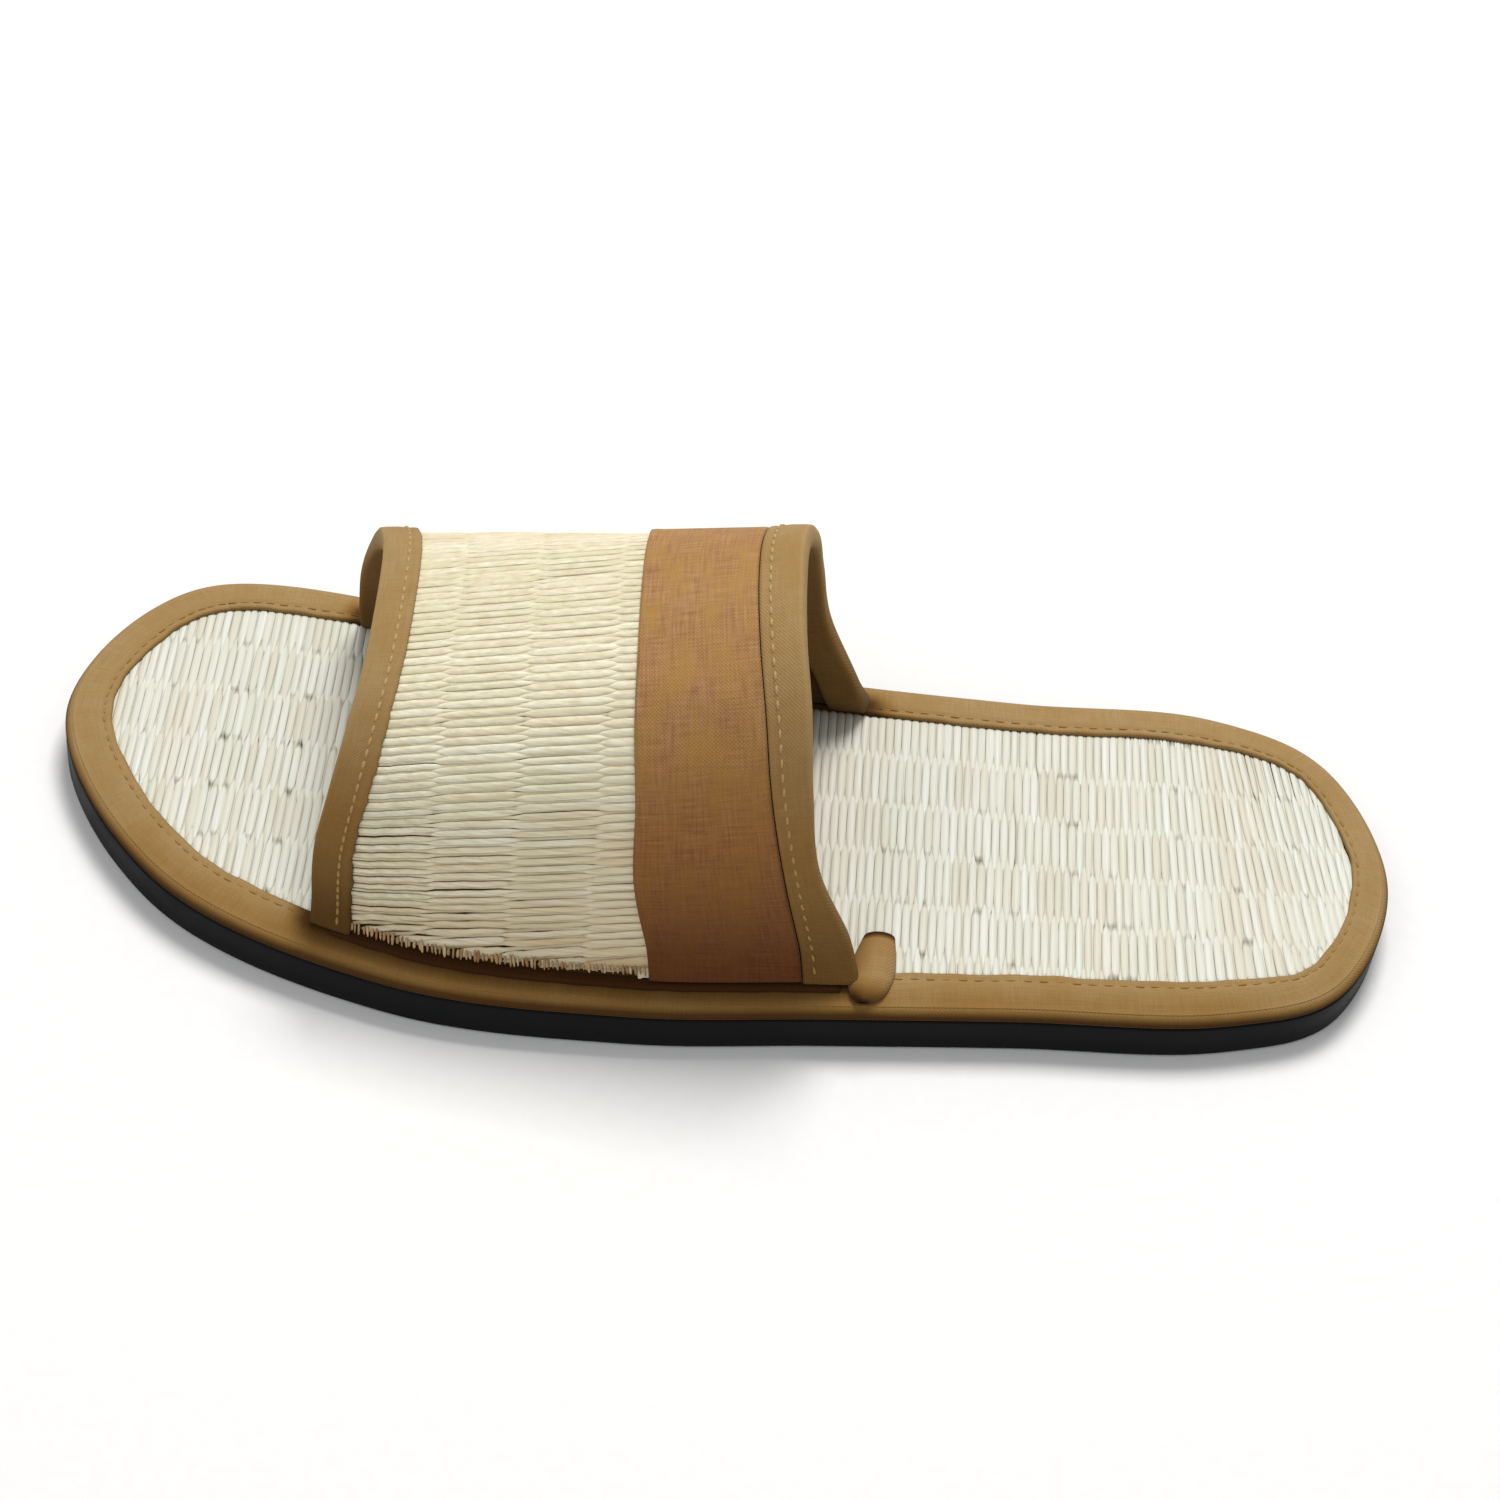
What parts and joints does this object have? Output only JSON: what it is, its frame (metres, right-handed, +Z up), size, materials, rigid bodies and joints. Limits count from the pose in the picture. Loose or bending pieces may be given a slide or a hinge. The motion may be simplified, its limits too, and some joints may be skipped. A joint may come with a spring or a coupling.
{
  "type": "woven mat slipper",
  "caption": "Open-toed indoor slipper with a woven rush footbed and strap, cloth-bound edges and a flat black sole with a wave tread.",
  "frame": {"origin": "bottom centre of the slipper's box, on the floor it stands on", "axes": "toe towards -Y, heel towards +Y, little-toe side towards +X, +Z up"},
  "size_m": [0.1073, 0.2748, 0.0835],
  "materials": {
    "sole_foam": "matte",
    "rush_mat": "satin straw",
    "edge_tape": "matte twill",
    "band_cloth": "matte canvas"
  },
  "bodies": {
    "root": {"outsole": "sole_foam", "footbed": "rush_mat", "edge_binding": "edge_tape", "strap": "rush_mat", "strap_band": "band_cloth", "binding_front": "edge_tape", "binding_back": "edge_tape"}
  },
  "joints": []
}
